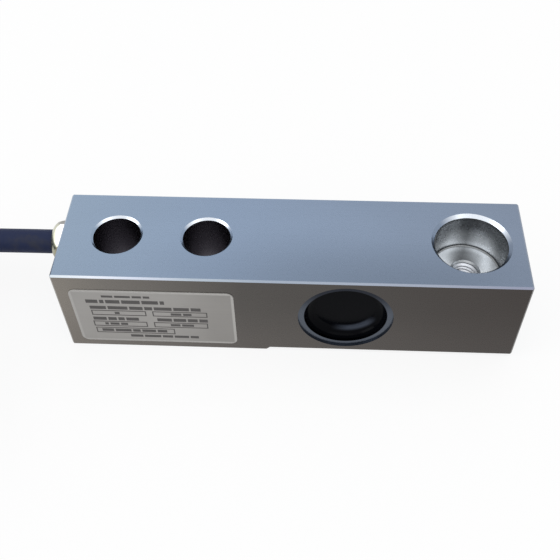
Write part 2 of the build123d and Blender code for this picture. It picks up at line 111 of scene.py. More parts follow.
class Shading:
    """The nodes of a material or of the world. One method adds any node."""

    def __init__(self, tree):
        self.tree = tree

    def node(self, kind, settings=None, inputs=None, output=0):
        """Add a node of a type, with its settings first and then its sockets' values or links."""
        made = self.tree.nodes.new("ShaderNode" + kind)
        for name, value in (settings or {}).items():
            if name == "stops":
                self._set_stops(made.color_ramp.elements, value)
            else:
                setattr(made, name, value)
        self._connect(made, inputs or {})
        return Field(self, made.outputs[output])

    def _set_stops(self, elements, stops):
        while len(elements) < len(stops):
            elements.new(1.0)
        for element, (position, colour) in zip(elements, stops):
            element.position = position
            element.color = colour

    def _connect(self, node, inputs):
        for name, value in inputs.items():
            if isinstance(value, Field):
                self.tree.links.new(value.socket, node.inputs[name])
            else:
                node.inputs[name].default_value = value

    def show(self, output_name, surface):
        """Make this surface the one that the output node shows."""
        self._connect(self.tree.nodes[output_name], {"Surface": surface})


class Finish(Shading):
    """A procedural material, made of its shader's constants and of what varies over the surface."""

    def __init__(self, name, constants):
        self.material = bpy.data.materials.new(name)
        self.material.use_nodes = True
        super().__init__(self.material.node_tree)
        self.shader = self.tree.nodes["Principled BSDF"]
        self.feed(constants)

    def feed(self, inputs):
        """Set or link sockets of the shader."""
        self._connect(self.shader, inputs)

    def mixed(self, share, first, second):
        """First colour where the share is 0, second where it is 1, and mixed between."""
        return self.node("Mix", {"data_type": "RGBA"}, {0: share, 6: first, 7: second}, output=2)

    def place(self):
        """X, Y and Z of the surface's point in millimetres."""
        point = self.node("TexCoord", output="Object")
        return [self.node("SeparateXYZ", inputs={0: point}, output=axis) * 1000 for axis in range(3)]

    def facing(self):
        """Size of the normal's part along X, Y and Z."""
        normal = self.node("TexCoord", output="Normal")
        return [abs(self.node("SeparateXYZ", inputs={0: normal}, output=axis)) for axis in range(3)]

    def ramp(self, share, *stops):
        """Colour that runs through the stops, each a place from 0 to 1 and a colour."""
        return self.node("ValToRGB", {"stops": stops}, {"Fac": share})

    def grain(self, lengths, detail=2.0, seed=0.0):
        """Noise from 0 to 1, whose patches have these lengths along X, Y and Z in millimetres."""
        point = self.node("TexCoord", output="Object")
        scale = [1000 / length for length in lengths]
        shift = (seed, seed, seed)
        spread = self.node("VectorMath", {"operation": "MULTIPLY_ADD"}, {0: point, 1: scale, 2: shift})
        return self.node("TexNoise", inputs={"Vector": spread, "Scale": 1.0, "Detail": detail})

    def bump(self, height, depth):
        """Normal of a surface raised by a height from 0 to 1, times a depth in millimetres."""
        return self.node("Bump", inputs={"Height": height * depth, "Distance": 0.001, "Strength": 1.0})


def coat_node(finish, *names):
    """Give CAD nodes a finish in place of the plain one that they came with."""
    for name in names:
        nodes[name].data.materials.clear()
        nodes[name].data.materials.append(finish.material)


def opaque(red, green, blue):
    """A colour that hides what is behind it."""
    return (red, green, blue, 1.0)


def corners_of(node):
    """Lowest and highest corner of a CAD node, in millimetres."""
    return [[round(value * 1000, 4) for value in corner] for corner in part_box(node)]


def inside(distance, limit, margin=0.12, blur=0.08):
    """1 where a distance is under a limit and its margin, and 0 past them, with a soft edge."""
    return distance.rise(limit + margin, limit + margin - blur)


(cable_end_x, _, _), (load_end_x, side_y, top_z) = corners_of("beam_body")
beam_length = load_end_x - cable_end_x
pad_height = 1.0
fixing_spacing = mounts["fixing_bolts"]["dims"]["spacing_x_mm"]
fixing_hole_r = mounts["fixing_bolts"]["dims"]["hole_r_mm"]
fixing_chamfer = 0.6
load_x = mounts["load_bore"]["pos_m"][0] * 1000
load_bore_r = mounts["load_bore"]["dims"]["r_mm"]
load_chamfer = 0.9
load_bore_depth = 12.5
load_floor_z = top_z - load_bore_depth
load_floor_fillet = 0.6
tap_mouth_r = 4.5
pocket_from_load = 34.3
pocket_x = load_x - pocket_from_load
pocket_z = (pad_height + top_z) / 2
pocket_r = 11.6
pocket_land_r = 13.4
pocket_wall_y = 12.0
cutter_feed = 0.6
turning_depth = 0.004

nickel = Finish("satin_nickel", {"Metallic": 1.0})
x, y, z = nickel.place()
along, across, upward = nickel.facing()
lengthwise = (x - cable_end_x) / beam_length
from_load = ((x - load_x) ** 2.0 + y ** 2.0) ** 0.5
from_pocket = ((x - pocket_x) ** 2.0 + (z - pocket_z) ** 2.0) ** 0.5
from_hole = ((abs(x) - fixing_spacing / 2) ** 2.0 + y ** 2.0) ** 0.5

lines = nickel.grain((40.0, 0.5, 0.5), detail=3.0)
clouds = nickel.grain((24.0, 16.0, 16.0), detail=2.0, seed=7.0)
specks = nickel.grain((1.1, 1.1, 1.1), detail=4.0, seed=3.0)
shade = 0.94 + clouds * 0.08 + lines * 0.05

# The plating's cool blue-grey is partly a painted sky reflection; it is painted paler towards the cable
# end, with a darker painted reflection beside the front edge.
plating_and_painted_reflection = nickel.ramp(
    lengthwise,
    (0.0, opaque(0.275, 0.355, 0.465)),
    (0.35, opaque(0.240, 0.310, 0.425)),
    (1.0, opaque(0.200, 0.245, 0.325)),
)
painted_front_reflection = 0.1 + lengthwise.rise(0.0, 0.7) * 0.4 - lengthwise.rise(0.8, 1.0) * 0.2
plating_and_painted_reflection = nickel.mixed(y.rise(6.0, -side_y) * painted_front_reflection, plating_and_painted_reflection, opaque(0.085, 0.108, 0.144))
# The sides are painted darker and warmer as a painted reflection, palest beside the cable and along the
# foot.
painted_side_reflection = nickel.ramp(
    lengthwise,
    (0.0, opaque(0.235, 0.215, 0.190)),
    (0.12, opaque(0.175, 0.163, 0.150)),
    (0.40, opaque(0.090, 0.084, 0.079)),
    (1.0, opaque(0.057, 0.050, 0.047)),
)
painted_foot_reflection = z.rise(top_z - 7.8, 2.0) * (0.50 - lengthwise * 0.38)
painted_side_reflection = nickel.mixed(painted_foot_reflection, painted_side_reflection, opaque(0.145, 0.130, 0.120))

from_middle = abs(y)
on_side = across.rise(0.80, 0.95) * from_middle.rise(side_y - 0.5, side_y - 0.3)
on_corner = along.rise(0.50, 0.65) * across.rise(0.50, 0.65) * from_middle.rise(side_y - 0.6, side_y - 0.5)
on_land = inside(from_pocket, pocket_land_r, margin=0.4, blur=0.2) * (1 - on_side)
on_land = on_land * from_middle.rise(pocket_wall_y - 1.0, pocket_wall_y)
in_pocket = inside(from_pocket, pocket_r, margin=0.15, blur=0.1)
in_holes = inside(from_hole, fixing_hole_r)
in_load_bore = inside(from_load, load_bore_r)
on_load_floor = in_load_bore * upward.rise(0.80, 0.95)
in_tap = inside(from_load, tap_mouth_r, margin=0.1, blur=0.2)
in_tap = in_tap * inside(z, load_floor_z, margin=0.1, blur=0.2)

# The land round each pocket is bare and grey-blue, with painted shade over its upper part, and the walls
# of the fixing holes are painted dark as painted shade.
colour = nickel.mixed(on_side.greater(on_corner), plating_and_painted_reflection, painted_side_reflection)
# Painted shade: the land turns darker above the pocket's middle.
painted_land_shade = z.rise(pocket_z + 0.6, pocket_z + 10.6)
land_and_painted_shade = nickel.mixed(painted_land_shade, opaque(0.082, 0.095, 0.118), opaque(0.020, 0.023, 0.032))
colour = nickel.mixed(on_land, colour, land_and_painted_shade)
colour = nickel.mixed(in_pocket * on_land, colour, opaque(0.012, 0.014, 0.020))
# Painted shade: the walls of the fixing holes are darker.
colour = nickel.mixed(in_holes * upward.rise(0.5, 0.3), colour, opaque(0.140, 0.132, 0.152))

# The load bore is turned. Its wall carries painted reflections in broad streaks and painted shade near the
# mouth, and its floor carries two fans of painted highlights, one to each side of the tapped hole.
around = y.angle(x - load_x)
half_turn = abs(around) / pi


def grey(level):
    """Bare steel grey with a trace of blue."""
    return opaque(level * 0.91, level * 0.945, level * 0.98)


painted_wall_reflection_top = nickel.ramp(
    half_turn, (0.0, grey(0.34)), (0.22, grey(0.32)), (0.40, grey(0.14)), (0.53, grey(0.19)),
    (0.63, grey(0.50)), (0.78, grey(0.42)), (1.0, grey(0.30)),
)
painted_wall_reflection_foot = nickel.ramp(
    half_turn, (0.0, grey(0.36)), (0.16, grey(0.44)), (0.27, grey(0.93)), (0.37, grey(0.93)),
    (0.47, grey(0.36)), (0.62, grey(0.72)), (0.80, grey(0.52)), (1.0, grey(0.34)),
)
bore_wall_painted_light = nickel.mixed(z.rise(load_floor_z + 9.2, load_floor_z + 3.2), painted_wall_reflection_top, painted_wall_reflection_foot)
bore_wall_painted_light = nickel.mixed(z.rise(top_z - 2.4, top_z - 1.4) * 0.7, bore_wall_painted_light, grey(0.10))
# Painted highlights: two bright fans on the floor, and a paler ring by its rim.
fan_turn = 0.2
painted_fan_highlights = ((around * 2.0 + fan_turn + pi / 2).sine() * 0.5 + 0.5) ** 1.8
floor_with_painted_highlights = nickel.mixed(painted_fan_highlights, grey(0.34), grey(1.04))
painted_floor_rim_highlight = from_load.rise(load_bore_r - 2.85, load_bore_r - 1.05) * 0.6
floor_with_painted_highlights = nickel.mixed(painted_floor_rim_highlight, floor_with_painted_highlights, grey(0.78))
# Painted shade in the corner between the floor and the wall.
painted_corner_shade = inside(z, load_floor_z + load_floor_fillet, margin=0.15, blur=0.3)
corner_r = load_bore_r - load_floor_fillet
painted_corner_shade = painted_corner_shade * from_load.rise(corner_r - 0.15, corner_r + 0.05)
colour = nickel.mixed(in_load_bore * upward.rise(0.6, 0.4), colour, bore_wall_painted_light)
colour = nickel.mixed(on_load_floor, colour, floor_with_painted_highlights)
colour = nickel.mixed(in_load_bore * painted_corner_shade, colour, grey(0.20))
colour = nickel.mixed(in_tap, colour, grey(0.66))

# Chamfers carry painted highlights, brightest at the rear of each rim, and along the long front
# edge a painted highlight that fades away from the cable.
on_chamfer = upward.rise(0.25, 0.45) * upward.rise(0.95, 0.85)
painted_edge_highlight = nickel.ramp(
    lengthwise,
    (0.0, opaque(0.74, 0.82, 0.88)),
    (0.09, opaque(0.84, 0.88, 0.97)),
    (0.18, opaque(0.68, 0.73, 0.86)),
    (0.30, opaque(0.47, 0.54, 0.62)),
    (0.44, opaque(0.37, 0.43, 0.52)),
    (0.78, opaque(0.36, 0.40, 0.49)),
    (1.0, opaque(0.29, 0.31, 0.41)),
)
top_chamfer = on_chamfer * z.rise(top_z - 1.8, top_z - 1.3)
on_front_edge = top_chamfer * y.rise(-side_y + 0.8, -side_y + 0.6)
hole_rim_highlight = inside(from_hole, fixing_hole_r + fixing_chamfer, margin=0.3, blur=0.2)
hole_rim_highlight = hole_rim_highlight * (y / from_hole).rise(0.30, 0.80)
highlight_bearing = radians(70.0)
to_rear_right = (x - load_x) * cos(highlight_bearing) + y * sin(highlight_bearing)
bore_rim_highlight = inside(from_load, load_bore_r + load_chamfer, margin=0.3, blur=0.2)
bore_rim_highlight = bore_rim_highlight * (to_rear_right / from_load).rise(0.30, 0.95)
painted_rim_highlight = top_chamfer * hole_rim_highlight.greater(bore_rim_highlight)
colour = nickel.mixed(on_front_edge, colour, painted_edge_highlight)
colour = nickel.mixed(painted_rim_highlight, colour, opaque(0.76, 0.81, 0.88))
marks = (1 - on_chamfer) * (1 - in_load_bore) * (lines * 0.0012 + specks * 0.0006)
turning = (from_load * (tau / cutter_feed)).sine() * 0.5 + 0.5
nickel.feed({
    "Base Color": nickel.node("VectorMath", {"operation": "SCALE"}, {0: colour, 3: shade}),
    "Roughness": 0.24 + specks * (1 - on_chamfer) * 0.08 - on_load_floor * 0.04,
    "Normal": nickel.bump(marks + turning * on_load_floor * turning_depth, 1.0),
})
coat_node(nickel, "beam_body")


# Thread of the tapped hole in the load bore's floor, cut to take the screw of the load fitting.
# It is a spiral ridge with sloping flanks and a narrow flat crest, which runs out at both ends.
thread_pitch = 1.25
thread_crest_r = 3.4
thread_top_z = load_floor_z - 0.7
thread_bottom_z = load_floor_z - 11.7
steps_per_turn = 72
run_out_steps = 12
tap_root_r = mounts["load_thread"]["dims"]["r_mm"]
root_in_steel_r = tap_root_r + 0.03
root_half = 0.56
crest_half = 0.09


def patchy_finish(name, constants, patches, detail, colours, roughness, relief=0.0):
    """A finish whose colour and roughness wander between two values, in patches of some size."""
    made = Finish(name, constants)
    wander = made.grain(patches, detail=detail)
    inputs = {
        "Base Color": made.mixed(wander, *colours),
        "Roughness": roughness[0] + wander * (roughness[1] - roughness[0]),
    }
    if relief:
        inputs["Normal"] = made.bump(wander, relief)
    made.feed(inputs)
    return made


def loft_rings(mesh, rings):
    """Faces between rings of vertices in a row, with a cap on each end."""
    made = [[mesh.verts.new(point) for point in ring] for ring in rings]
    for first, second in zip(made, made[1:]):
        for i in range(len(first)):
            j = (i + 1) % len(first)
            mesh.faces.new((first[i], first[j], second[j], second[i]))
    mesh.faces.new(made[0])
    mesh.faces.new(made[-1])
    bmesh.ops.recalc_face_normals(mesh, faces=mesh.faces)


def piece_of(mesh, name, finish):
    """Make a piece from a mesh in millimetres, with its finish and its body."""
    data = bpy.data.meshes.new(name)
    bmesh.ops.scale(mesh, vec=(0.001, 0.001, 0.001), verts=mesh.verts)
    mesh.to_mesh(data)
    mesh.free()
    data.materials.append(finish.material)
    piece = bpy.data.objects.new(name, data)
    bpy.context.scene.collection.objects.link(piece)
    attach(piece, "root")
    return piece


cut_steel = patchy_finish(
    "cut_steel",
    {"Metallic": 1.0},
    patches=(0.6, 0.6, 0.3),
    detail=3.0,
    colours=(opaque(0.62, 0.64, 0.68), opaque(0.42, 0.44, 0.48)),
    roughness=(0.22, 0.38),
    relief=0.01,
)

thread_rings = []
thread_steps = int((thread_top_z - thread_bottom_z) / thread_pitch * steps_per_turn)
for step in range(thread_steps + 1):
    angle = tau * step / steps_per_turn
    middle_z = thread_bottom_z + thread_pitch * step / steps_per_turn
    full = min(1.0, step / run_out_steps, (thread_steps - step) / run_out_steps)
    crest_r = tap_root_r - (tap_root_r - thread_crest_r) * max(full, 0.05)
    section = [
        (root_in_steel_r, -root_half),
        (crest_r, -crest_half),
        (crest_r, crest_half),
        (root_in_steel_r, root_half),
    ]
    ring = [(load_x + r * cos(angle), r * sin(angle), middle_z + dz) for r, dz in section]
    thread_rings.append(ring)
thread_mesh = bmesh.new()
loft_rings(thread_mesh, thread_rings)
piece_of(thread_mesh, "load_thread_turns", cut_steel)


# Strain gauges. Amber polyimide film with etched copper-nickel grids, glued to both faces of the web.
# Fine tinned leads run from the grids' tabs to a strip of pads beside each gauge, and sleeved wires
# through the web join them to a board with trimming chips.
film = patchy_finish(
    "amber_film",
    {"Coat Weight": 0.4},
    patches=(1.5, 1.5, 1.5),
    detail=2.0,
    colours=(opaque(0.62, 0.30, 0.06), opaque(0.50, 0.22, 0.04)),
    roughness=(0.25, 0.45),
)
coat_node(film, "front_gauge_film", "rear_gauge_film")

foil = patchy_finish(
    "copper_nickel_foil",
    {"Metallic": 1.0},
    patches=(0.12, 0.12, 0.12),
    detail=2.0,
    colours=(opaque(0.72, 0.68, 0.60), opaque(0.60, 0.56, 0.48)),
    roughness=(0.30, 0.50),
)
coat_node(foil, "front_gauge_grids", "rear_gauge_grids")

tinned = patchy_finish(
    "tinned_copper",
    {"Metallic": 1.0},
    patches=(0.5, 0.5, 0.5),
    detail=3.0,
    colours=(opaque(0.74, 0.74, 0.73), opaque(0.55, 0.55, 0.54)),
    roughness=(0.22, 0.47),
    relief=0.02,
)
coat_node(tinned, "front_gauge_leads", "rear_gauge_leads", "drain_wire", "tinned_ends")

laminate = patchy_finish(
    "glass_epoxy",
    {"Coat Weight": 0.3},
    patches=(0.4, 0.4, 0.4),
    detail=1.0,
    colours=(opaque(0.05, 0.27, 0.13), opaque(0.03, 0.19, 0.09)),
    roughness=(0.35, 0.50),
)
coat_node(laminate, "front_terminals", "rear_terminals", "bridge_board")

chip = patchy_finish(
    "chip_body",
    {},
    patches=(0.3, 0.3, 0.3),
    detail=2.0,
    colours=(opaque(0.035, 0.035, 0.04), opaque(0.07, 0.07, 0.075)),
    roughness=(0.4, 0.6),
)
coat_node(chip, "trim_resistors", "span_resistor")

sleeving = patchy_finish(
    "clear_sleeving",
    {"Coat Weight": 0.5},
    patches=(1.0, 0.4, 1.0),
    detail=2.0,
    colours=(opaque(0.80, 0.78, 0.72), opaque(0.70, 0.68, 0.62)),
    roughness=(0.30, 0.45),
)
coat_node(sleeving, "link_sleeve")


# Sealing compound. Black two-part compound poured over the gauges in each pocket, glossy as it set.
# It wets the wall and climbs it, so its skin is a shallow dish with a slight swell.
compound = Finish("black_compound", {"IOR": 1.1})
cast_x, _, cast_z = compound.place()
from_axis = ((cast_x - pocket_x) ** 2.0 + (cast_z - pocket_z) ** 2.0) ** 0.5
bearing = (cast_z - pocket_z).angle(cast_x - pocket_x)
swell = compound.grain((9.0, 9.0, 9.0), detail=1.0)
dust = compound.grain((0.4, 0.4, 0.4), detail=4.0, seed=5.0)
# Where it climbs the wall, low on the right, a painted highlight lies on its skin in a crescent.
painted_crescent_highlight = from_axis.rise(pocket_r - 3.7, pocket_r - 2.5) * from_axis.rise(pocket_r - 0.9, pocket_r - 1.8)
painted_crescent_highlight = painted_crescent_highlight * bearing.rise(-2.00, -1.35) * bearing.rise(-0.40, -0.90)
dusty = dust.rise(0.62, 0.78)
cast_black = compound.mixed(dusty, opaque(0.0025, 0.0028, 0.004), opaque(0.007, 0.0075, 0.009))
compound.feed({
    "Base Color": compound.mixed(painted_crescent_highlight, cast_black, opaque(0.058, 0.068, 0.092)),
    "Roughness": 0.16 + dust * 0.08,
    "Normal": compound.bump(swell, 0.05),
})
coat_node(compound, "front_potting", "rear_potting")


# Gland. A hollow hexagon screw turned from bar brass and plated bright, with a domed nose.
# It squeezes a slip washer and a rubber bush on the cable's jacket inside the end face's socket.
gland_low, gland_high = corners_of("gland_screw")
gland_mouth_x = gland_low[0]
gland_y = (gland_low[1] + gland_high[1]) / 2
gland_z = (gland_low[2] + gland_high[2]) / 2
gland_mouth_r = 3.8
gland_dome_length = 2.4

bright_nickel = Finish("bright_nickel", {"Metallic": 1.0})
screw_x, screw_y, screw_z = bright_nickel.place()
end_on = bright_nickel.facing()[0]
from_cable = ((screw_y - gland_y) ** 2.0 + (screw_z - gland_z) ** 2.0) ** 0.5
round_gland = abs((screw_z - gland_z).angle(screw_y - gland_y)) / pi
tooling = bright_nickel.grain((0.15, 3.0, 3.0), detail=3.0)
tarnish = bright_nickel.grain((2.5, 2.5, 2.5), detail=3.0, seed=4.0)
# The flats on the front's side carry a painted highlight and the others painted shade, and the nose is
# creamier, with painted highlight and shade round it.
flats_painted_light = bright_nickel.ramp(
    round_gland,
    (0.42, opaque(0.08, 0.075, 0.062)),
    (0.47, opaque(0.93, 0.92, 0.95)),
    (0.79, opaque(0.93, 0.92, 0.95)),
    (0.82, opaque(0.26, 0.24, 0.18)),
)
cream_nose_painted_light = bright_nickel.ramp(
    round_gland,
    (0.30, opaque(0.34, 0.33, 0.28)),
    (0.50, opaque(0.62, 0.62, 0.50)),
    (0.80, opaque(0.56, 0.57, 0.43)),
    (1.0, opaque(0.24, 0.22, 0.15)),
)
dome_root_x = gland_mouth_x + gland_dome_length
on_nose = end_on.rise(0.05, 0.25).greater(screw_x.rise(dome_root_x - 0.3, dome_root_x - 0.9))
by_mouth = inside(from_cable, gland_mouth_r, margin=0.7, blur=0.4)
tarnished = tarnish.rise(0.45, 0.75) * 0.3
gland_colour = bright_nickel.mixed(on_nose, flats_painted_light, cream_nose_painted_light)
gland_colour = bright_nickel.mixed(by_mouth, gland_colour, opaque(0.05, 0.05, 0.05))
bright_nickel.feed({
    "Base Color": bright_nickel.mixed(tarnished, gland_colour, opaque(0.45, 0.43, 0.34)),
    "Roughness": 0.18 + tooling * 0.12,
    "Normal": bright_nickel.bump(tooling, 0.004),
})
coat_node(bright_nickel, "gland_screw")

washer_brass = patchy_finish(
    "washer_brass",
    {"Metallic": 1.0},
    patches=(0.2, 0.2, 0.2),
    detail=2.0,
    colours=(opaque(0.72, 0.52, 0.24), opaque(0.58, 0.40, 0.17)),
    roughness=(0.28, 0.43),
)
coat_node(washer_brass, "gland_washer")

bush_rubber = patchy_finish(
    "bush_rubber",
    {},
    patches=(0.8, 0.8, 0.8),
    detail=3.0,
    colours=(opaque(0.02, 0.02, 0.02), opaque(0.045, 0.045, 0.045)),
    roughness=(0.55, 0.75),
)
coat_node(bush_rubber, "gland_bush")


# Data plate. A satin foil label with rounded corners, stuck on the front face near the cable.
# It carries only the rows and boxes of a generic form, printed as plain bars.
(plate_left, plate_front_y, plate_bottom), (plate_right, _, plate_top) = corners_of("data_plate")
rim_width = 0.7

plate_foil = Finish("plate_foil", {"Metallic": 0.15})
plate_x, _, plate_z = plate_foil.place()
brushing = plate_foil.grain((30.0, 1.0, 0.25), detail=3.0)
fading = plate_foil.grain((9.0, 9.0, 9.0), detail=2.0, seed=2.0)
past_sides = abs(plate_x - (plate_left + plate_right) / 2) - (plate_right - plate_left) / 2
past_ends = abs(plate_z - (plate_bottom + plate_top) / 2) - (plate_top - plate_bottom) / 2
plate_rim = past_sides.greater(past_ends).rise(-rim_width - 0.2, -rim_width + 0.1)
# The ground has fading and brushing, and is painted darker towards the right as painted shade.
fading_and_painted_shade = fading * 0.3 + brushing * 0.15 + plate_x.rise(0.0, 18.0) * 0.55
ground = plate_foil.mixed(fading_and_painted_shade, opaque(0.365, 0.352, 0.338), opaque(0.240, 0.230, 0.217))
plate_foil.feed({
    "Base Color": plate_foil.mixed(plate_rim, ground, opaque(0.415, 0.405, 0.388)),
    "Roughness": 0.42 + brushing * 0.12,
    "Normal": plate_foil.bump(brushing, 0.004),
})
coat_node(plate_foil, "data_plate")

ink = patchy_finish(
    "plate_ink",
    {},
    patches=(1.2, 1.2, 1.2),
    detail=3.0,
    colours=(opaque(0.040, 0.036, 0.036), opaque(0.085, 0.080, 0.078)),
    roughness=(0.45, 0.65),
)

ink_height = 0.02
ink_sunk = 0.005
line_width = 0.32
word_gap = 0.5
# Each row has its left end and foot from the plate's corner, its height and its bars' widths.
form_rows = [
    (9.0, 20.4, 0.9, (3.2, 4.4, 2.6, 1.8)),
    (4.2, 17.8, 1.5, (3.4, 1.2, 4.0, 5.2, 4.6, 1.2)),
    (4.9, 15.1, 1.4, (4.6, 5.6, 3.8, 2.2, 5.0, 4.4, 2.8)),
    (11.6, 12.9, 1.0, (1.4,)),
    (27.6, 12.9, 1.0, (3.0, 2.4)),
    (5.0, 10.0, 1.4, (3.8, 2.4, 1.8, 3.6)),
    (23.4, 10.0, 1.4, (4.2, 3.6, 2.8, 2.4)),
    (8.0, 7.8, 1.0, (1.0, 2.6, 2.0)),
    (27.0, 7.8, 1.0, (2.8, 3.4)),
    (6.6, 4.6, 1.2, (3.4, 4.6, 2.2, 4.0, 2.8)),
    (14.6, 2.1, 1.1, (3.6, 4.8, 3.0, 4.2, 2.4)),
]
# Each box has its left side and foot, its width and its height.
form_boxes = [
    (5.0, 12.3, 15.6, 2.3),
    (22.4, 12.3, 15.6, 2.3),
    (4.7, 7.1, 15.6, 2.4),
    (22.2, 7.1, 15.6, 2.4),
    (4.9, 3.9, 23.0, 2.6),
]


def add_bar(mesh, left, bottom, width, height):
    """One printed bar, a low box that stands on the plate."""
    bar_left = plate_left + left
    bar_foot = plate_bottom + bottom
    bar_right = bar_left + width
    bar_top = bar_foot + height
    corners = [(bar_left, bar_foot), (bar_right, bar_foot), (bar_right, bar_top), (bar_left, bar_top)]
    back = [(x_mm, plate_front_y + ink_sunk, z_mm) for x_mm, z_mm in corners]
    front = [(x_mm, plate_front_y - ink_height, z_mm) for x_mm, z_mm in corners]
    loft_rings(mesh, [back, front])


def add_box(mesh, left, bottom, width, height):
    """An empty box for an entry, drawn with four lines that meet at the corners."""
    add_bar(mesh, left, bottom, width, line_width)
    add_bar(mesh, left, bottom + height - line_width, width, line_width)
    add_bar(mesh, left, bottom + line_width, line_width, height - 2 * line_width)
    add_bar(mesh, left + width - line_width, bottom + line_width, line_width, height - 2 * line_width)


def add_row(mesh, left, bottom, height, widths):
    """A row of plain bars in place of words, with gaps between them."""
    for width in widths:
        add_bar(mesh, left, bottom, width, height)
        left += width + word_gap


print_mesh = bmesh.new()
for row in form_rows:
    add_row(print_mesh, *row)
for box in form_boxes:
    add_box(print_mesh, *box)
piece_of(print_mesh, "plate_print", ink)


# Cable. Four cores and a screen under a round satin jacket, three metres long overall.
# It leaves the gland level, and its spare length is wound in three layers of turns and tied.
cable_r = 3.7
cable_d = 2 * cable_r
cable_route = [
    (gland_mouth_x, gland_y, gland_z),
    (-50.0, gland_y, gland_z),
    (-70.0, gland_y - 0.1, gland_z - 0.3),
    (-85.6, gland_y - 0.7, gland_z - 0.4),
]
coil_mid_r = 44.4
coil_x = -118.0
coil_y = gland_y - coil_mid_r - cable_d
layer_turns = (3, 4, 3)
layer_rise = cable_d * sqrt(3) / 2
tie_thickness = 0.8
lowest_z = tie_thickness + cable_r
points_per_turn = 16
turn_step = 360.0 / points_per_turn
first_angle = 90.0
cross_over = 0.15
climb_over = 1.0
tail_r = 29.3
tail_shift = 2.0
tail_start = 95.0
tail_sweep = 150.0
tail_steps = 7
tail_step = tail_sweep / tail_steps


def smooth_step(share):
    """The share, held between 0 and 1, with a gentle start and stop."""
    share = min(max(share, 0.0), 1.0)
    return share * share * (3 - 2 * share)


def circle_point(centre, radius, degrees, height):
    """Point at an angle on a level circle round a centre."""
    angle = radians(degrees)
    return (centre[0] + radius * cos(angle), centre[1] + radius * sin(angle), height)


def control_r(radius, step):
    """Radius of the control points whose curve runs at this radius, at a step between them."""
    return radius / cos(radians(step / 2))


# The turns fill each layer from the top down, by turns inwards and outwards, and end in the tail.
wound = []
for layer in (2, 1, 0):
    turns = layer_turns[layer]
    layer_radii = [coil_mid_r + (i - (turns - 1) / 2) * cable_d for i in range(turns)]
    if layer != 1:
        layer_radii.reverse()
    wound += [(radius, layer) for radius in layer_radii]
wound.append((tail_r + tail_shift, 0))

# Near its end each turn crosses to the next one's place, and rises a little over what lies there.
coil_points = []
for (turn_r, layer), (next_r, next_layer) in zip(wound, wound[1:]):
    for k in range(points_per_turn):
        share = (k + 0.5) / points_per_turn
        move = smooth_step((share - 1 + cross_over) / cross_over)
        level = layer + (next_layer - layer) * move
        height = lowest_z + level * (layer_rise + climb_over * sin(pi * move))
        radius = control_r(turn_r + (next_r - turn_r) * move, turn_step)
        degrees = first_angle + (k + 0.5) * turn_step
        coil_points.append(circle_point((coil_x, coil_y), radius, degrees, height))

tail_centre = circle_point((coil_x, coil_y), tail_shift, tail_start, lowest_z)
tail_points = []
for k in range(tail_steps):
    degrees = tail_start + tail_step * (k + 0.5)
    tail_points.append(circle_point(tail_centre, control_r(tail_r, tail_step), degrees, lowest_z))
tail_points.append(circle_point(tail_centre, tail_r, tail_start + tail_sweep, lowest_z))

cable_line = bpy.data.curves.new("signal_cable", "CURVE")
cable_line.dimensions = "3D"
spline = cable_line.splines.new("NURBS")
all_points = cable_route + coil_points + tail_points
spline.points.add(len(all_points) - 1)
for point, place in zip(spline.points, all_points):
    point.co = (*[value / 1000 for value in place], 1.0)
spline.order_u = 3
spline.use_endpoint_u = True
spline.resolution_u = 8
cable_line.bevel_depth = cable_r / 1000
cable_line.bevel_resolution = 5
cable_line.use_fill_caps = True

jacket = Finish("cable_jacket", {"Specular IOR Level": 0.12})
drawn = jacket.grain((1.2, 1.2, 1.2), detail=4.0)
scuffs = jacket.grain((6.0, 6.0, 6.0), detail=4.0, seed=6.0)
scuffed = scuffs.rise(0.45, 0.7)
jacket.feed({
    "Base Color": jacket.mixed(scuffed, opaque(0.018, 0.025, 0.062), opaque(0.031, 0.034, 0.054)),
    "Roughness": 0.45 + scuffs * 0.2,
    "Normal": jacket.bump(drawn, 0.02),
})
signal_cable = bpy.data.objects.new("signal_cable", cable_line)
bpy.context.scene.collection.objects.link(signal_cable)
cable_line.materials.append(jacket.material)
coat_node(jacket, "cable_inlet")
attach(signal_cable, "root")
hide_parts("cable_tube", "cable_coil")


# Cores, leads and the far end. Extruded insulation in four colours, with a sleeve on the drain wire.
# A shrunk sleeve closes the jacket's end, and the stripped ends are tinned.
def insulation(name, base, deep):
    """A matt extruded plastic in one colour."""
    return patchy_finish(
        name,
        {"Specular IOR Level": 0.4},
        patches=(1.5, 1.5, 1.5),
        detail=2.0,
        colours=(base, deep),
        roughness=(0.35, 0.55),
        relief=0.01,
    )


core_colours = {
    "red": (opaque(0.50, 0.02, 0.02), opaque(0.36, 0.012, 0.012)),
    "black": (opaque(0.02, 0.02, 0.02), opaque(0.04, 0.04, 0.04)),
    "green": (opaque(0.03, 0.26, 0.07), opaque(0.02, 0.18, 0.05)),
    "white": (opaque(0.76, 0.76, 0.74), opaque(0.62, 0.62, 0.60)),
}
for name, (base, deep) in core_colours.items():
    coat_node(insulation(f"{name}_insulation", base, deep), f"core_{name}", f"lead_{name}")
coat_node(insulation("drain_sleeve", opaque(0.60, 0.50, 0.06), opaque(0.45, 0.37, 0.04)), "lead_shield")
coat_node(insulation("shrink_sleeve", opaque(0.015, 0.015, 0.016), opaque(0.03, 0.03, 0.03)), "end_sleeve")


# Ties. Three nylon straps hold the coil. Each is drawn through a lock on top of the turns, and its
# spare end is cut off close to the lock.
tie_places = (18.0, 136.0, 226.0)
tie_sweep = 6.5
tie_top_z = corners_of("coil_ties")[1][2]
lock_along = 5.6
lock_across = 6.2
lock_height = 3.6
lock_edge = 0.5
lock_corner = 0.9
lock_sunk = 0.05
stub_along = 2.2
stub_across = 4.6
stub_low = 1.2
stub_high = 2.3
stub_out = 0.6
stub_corner = 0.3

nylon = insulation("tie_nylon", opaque(0.02, 0.02, 0.022), opaque(0.05, 0.05, 0.05))
coat_node(nylon, "coil_ties")


